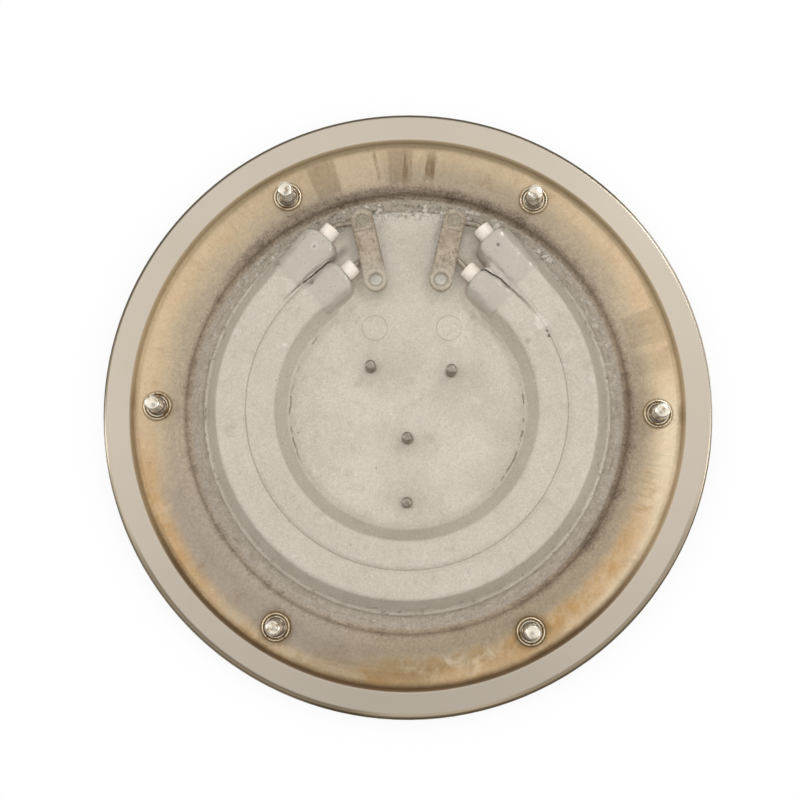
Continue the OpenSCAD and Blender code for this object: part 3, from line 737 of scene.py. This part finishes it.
def casting(material):
    source = plugged_casting()
    work = bpy.data.objects.new("casting_work", source)
    bpy.context.scene.collection.objects.link(work)
    remesh = work.modifiers.new("remesh", "REMESH")
    remesh.mode = "VOXEL"
    remesh.voxel_size = VOXEL
    smooth = work.modifiers.new("smooth", "SMOOTH")
    smooth.factor = 0.5
    smooth.iterations = 3
    graph = bpy.context.evaluated_depsgraph_get()
    mesh = bpy.data.meshes.new_from_object(work.evaluated_get(graph))
    bpy.data.objects.remove(work)

    low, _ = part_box("heat_plate")
    bm = bmesh.new()
    bm.from_mesh(mesh)
    bm.normal_update()
    for v in bm.verts:
        if v.co.z > low.z + 0.6 * MM:
            v.co += v.normal * cast_relief(v.co)
        else:
            v.co.z = max(v.co.z, low.z)
    under = [f for f in bm.faces if f.normal.z < -0.9 and f.calc_center_median().z < low.z + 0.5 * MM]
    bmesh.ops.dissolve_faces(bm, faces=under)
    bm.to_mesh(mesh)
    bm.free()
    shade_smooth(mesh)
    piece = add_piece("casting", mesh, material)
    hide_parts("heat_plate")
    return piece


def thread_radius(z, turn, outer, pitch, depth):
    phase = (z / pitch - turn / math.tau) % 1
    return outer - depth * abs(2 * phase - 1) ** 1.4


def add_turned(bm, place, base, profile, segments=48):
    """A closed turned body: profile gives (height, radius at a turn), from the bottom up."""
    rings = []
    for z, radius in profile:
        ring = []
        for i in range(segments):
            a = math.tau * i / segments
            r = radius(a) if callable(radius) else radius
            ring.append(bm.verts.new((place.x + r * math.cos(a), place.y + r * math.sin(a), base + z)))
        rings.append(ring)
    for lower, upper in zip(rings, rings[1:]):
        for i in range(segments):
            j = (i + 1) % segments
            bm.faces.new((lower[i], lower[j], upper[j], upper[i]))
    bm.faces.new(reversed(rings[0]))
    bm.faces.new(rings[-1])


def threaded_profile(start, end, outer, pitch, tip):
    """Rings of a thread from one height to another, then a chamfered tip."""
    depth = 0.55 * pitch
    steps = max(8, round((end - tip - start) / pitch * 7))
    rows = []
    for k in range(steps + 1):
        z = start + (end - tip - start) * k / steps
        fade = min(1.0, (end - tip - z) / pitch + 0.15)
        rows.append((z, lambda a, z=z, fade=fade: thread_radius(z, a, outer, pitch, depth * fade)))
    rows.append((end - tip * 0.25, outer - tip * 0.8))
    rows.append((end, outer - tip * 1.25))
    return rows


def threaded_studs(name, places, base, foot, start, height, diameter, pitch, material, node):
    bm = bmesh.new()
    for place in places:
        rows = list(foot) + threaded_profile(start, height, diameter / 2, pitch, 0.55 * MM)
        add_turned(bm, place, base, rows)
    mesh = bpy.data.meshes.new(name)
    bm.to_mesh(mesh)
    bm.free()
    shade_smooth(mesh)
    mesh.set_sharp_from_angle(angle=math.radians(38))
    piece = add_piece(name, mesh, material)
    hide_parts(node)
    return piece


def studs(made):
    flange = FLANGE_D / 2
    mounting = [polar(STUD_PCD / 2, STUD_TURN + i * 360 / STUD_COUNT) for i in range(STUD_COUNT)]
    foot = [(0, flange), (FLANGE_H - 0.35 * MM, flange), (FLANGE_H, flange - 0.35 * MM),
            (FLANGE_H + 0.1 * MM, STUD_D * 0.46)]
    threaded_studs("mounting_thread", mounting, LAND_Z, foot, FLANGE_H + 0.3 * MM, STUD_L,
                   STUD_D, 1.0 * MM, made["stud_steel"], "mounting_studs")
    small_foot = [(-1.8 * MM, SHANK_D / 2), (0, SHANK_D / 2), (0, CUTOUT_D / 2), (0.1 * MM, CUTOUT_D / 2),
                  (0.7 * MM, CUTOUT_D * 0.46)]
    cutouts = [CUTOUT_CENTRE + polar(CUTOUT_PCD / 2, CUTOUT_TURN + i * 120) for i in range(3)]
    threaded_studs("cutout_thread", cutouts, PLATE_Z, small_foot, 0.9 * MM, CUTOUT_H, CUTOUT_D,
                   0.7 * MM, made["small_stud_steel"], "cutout_studs")
    threaded_studs("earth_thread", [Vector((0, EARTH_Y))], PLATE_Z, small_foot, 0.9 * MM, EARTH_H,
                   CUTOUT_D, 0.7 * MM, made["small_stud_steel"], "earth_stud")


def soften_edges():
    """Small rounded edges on the CAD pieces that are stamped, drawn or pressed."""
    widths = {"left_terminal_strip": 0.25, "right_terminal_strip": 0.25, "stud_collars": 0.08,
              "inner_left_bead": 0.25, "inner_right_bead": 0.25, "outer_left_bead": 0.25,
              "outer_right_bead": 0.25}
    for name, width in widths.items():
        bevel = nodes[name].modifiers.new("edge", "BEVEL")
        bevel.width = width * MM
        bevel.segments = 3
        bevel.limit_method = "ANGLE"
        bevel.angle_limit = math.radians(40)


# Stage and light


def make_stage():
    size = 3.0
    bm = bmesh.new()
    bmesh.ops.create_grid(bm, x_segments=1, y_segments=1, size=size)
    mesh = bpy.data.meshes.new("floor")
    bm.to_mesh(mesh)
    bm.free()
    floor = bpy.data.objects.new("floor", mesh)
    floor.location.z = -0.0004
    bpy.context.scene.collection.objects.link(floor)

    material = bpy.data.materials.new("floor_white")
    material.use_nodes = True
    tree = material.node_tree
    shader = tree.nodes["Principled BSDF"]
    shader.inputs["Base Color"].default_value = (0.86, 0.86, 0.86, 1)
    shader.inputs["Roughness"].default_value = 0.9
    glow = tree.nodes.new("ShaderNodeEmission")
    glow.inputs["Strength"].default_value = 1.0
    path = tree.nodes.new("ShaderNodeLightPath")
    share = tree.nodes.new("ShaderNodeMath")
    share.operation = "MULTIPLY"
    share.inputs[1].default_value = 0.86
    join = tree.nodes.new("ShaderNodeMixShader")
    tree.links.new(path.outputs["Is Camera Ray"], share.inputs[0])
    tree.links.new(share.outputs[0], join.inputs[0])
    tree.links.new(shader.outputs[0], join.inputs[1])
    tree.links.new(glow.outputs[0], join.inputs[2])
    tree.links.new(join.outputs[0], tree.nodes["Material Output"].inputs[0])
    assign(floor, material)


def make_world():
    world = bpy.data.worlds.new("studio")
    bpy.context.scene.world = world
    world.use_nodes = True
    tree = world.node_tree
    background = tree.nodes["Background"]
    coordinates = tree.nodes.new("ShaderNodeTexCoord")

    def step(direction, start, end, low, high, smooth=True):
        """Brightness over the sky that goes from low to high with the cosine to a direction."""
        cosine = tree.nodes.new("ShaderNodeVectorMath")
        cosine.operation = "DOT_PRODUCT"
        cosine.inputs[1].default_value = direction
        tree.links.new(coordinates.outputs["Generated"], cosine.inputs[0])
        reach = tree.nodes.new("ShaderNodeMapRange")
        reach.interpolation_type = "SMOOTHSTEP" if smooth else "LINEAR"
        for name, value in zip(("From Min", "From Max", "To Min", "To Max"), (start, end, low, high)):
            reach.inputs[name].default_value = value
        tree.links.new(cosine.outputs["Value"], reach.inputs["Value"])
        return reach.outputs[0]

    def product(first, second):
        node = tree.nodes.new("ShaderNodeMath")
        node.operation = "MULTIPLY"
        tree.links.new(first, node.inputs[0])
        tree.links.new(second, node.inputs[1])
        return node.outputs[0]

    camera_side = Vector((-0.035, -0.115, 1.0)).normalized()
    dark_spot = step(camera_side, math.cos(math.radians(14.5)), math.cos(math.radians(4)), 1.0, 0.40)
    far_side = step(Vector((0, 1, 0)), 0.12, 0.34, 1.0, 0.86)
    near_side = step(Vector((-0.35, -0.94, 0)), 0.2, 0.9, 1.0, 0.6)
    left_side = step(Vector((-1, 0, 0)), -0.2, 0.2, 0.97, 1.06)
    horizon = step(Vector((0, 0, 1)), 0.12, 0.55, 0.22, 1.0)
    strength = product(product(dark_spot, far_side), product(near_side, product(left_side, horizon)))
    scale = tree.nodes.new("ShaderNodeMath")
    scale.operation = "MULTIPLY"
    scale.inputs[1].default_value = 0.95
    tree.links.new(strength, scale.inputs[0])
    path = tree.nodes.new("ShaderNodeLightPath")
    brightest = tree.nodes.new("ShaderNodeMath")
    brightest.operation = "MAXIMUM"
    tree.links.new(scale.outputs[0], brightest.inputs[0])
    tree.links.new(path.outputs["Is Camera Ray"], brightest.inputs[1])
    tree.links.new(brightest.outputs[0], background.inputs["Strength"])
    background.inputs["Color"].default_value = (1.0, 0.998, 0.992, 1)


def add_lamp(name, place, aim, size, power):
    data = bpy.data.lights.new(name, "AREA")
    data.shape = "DISK"
    data.size = size
    data.energy = power
    lamp = bpy.data.objects.new(name, data)
    bpy.context.scene.collection.objects.link(lamp)
    lamp.location = place
    lamp.rotation_mode = "QUATERNION"
    lamp.rotation_quaternion = (Vector(aim) - Vector(place)).to_track_quat("-Z", "Y")
    return lamp


def make_lights():
    add_lamp("key", (0.55, 0.62, 0.95), (0, 0, 0), 0.30, 1.5)
    add_lamp("left", (-1.15, 0.15, 0.62), (0, 0, 0), 0.7, 2.4)
    add_lamp("right", (1.15, -0.25, 0.62), (0, 0, 0), 0.7, 2.4)
    front = add_lamp("front", (0.02, -0.14, 1.3), (0, 0, 0), 0.4, 3.6)
    front.visible_glossy = False


bpy.context.scene.view_settings.view_transform = "Standard"
make_camera()
made = finishes()
dress_nodes(made)
casting(made["cast_alloy"])
studs(made)
soften_edges()
make_stage()
make_world()
make_lights()
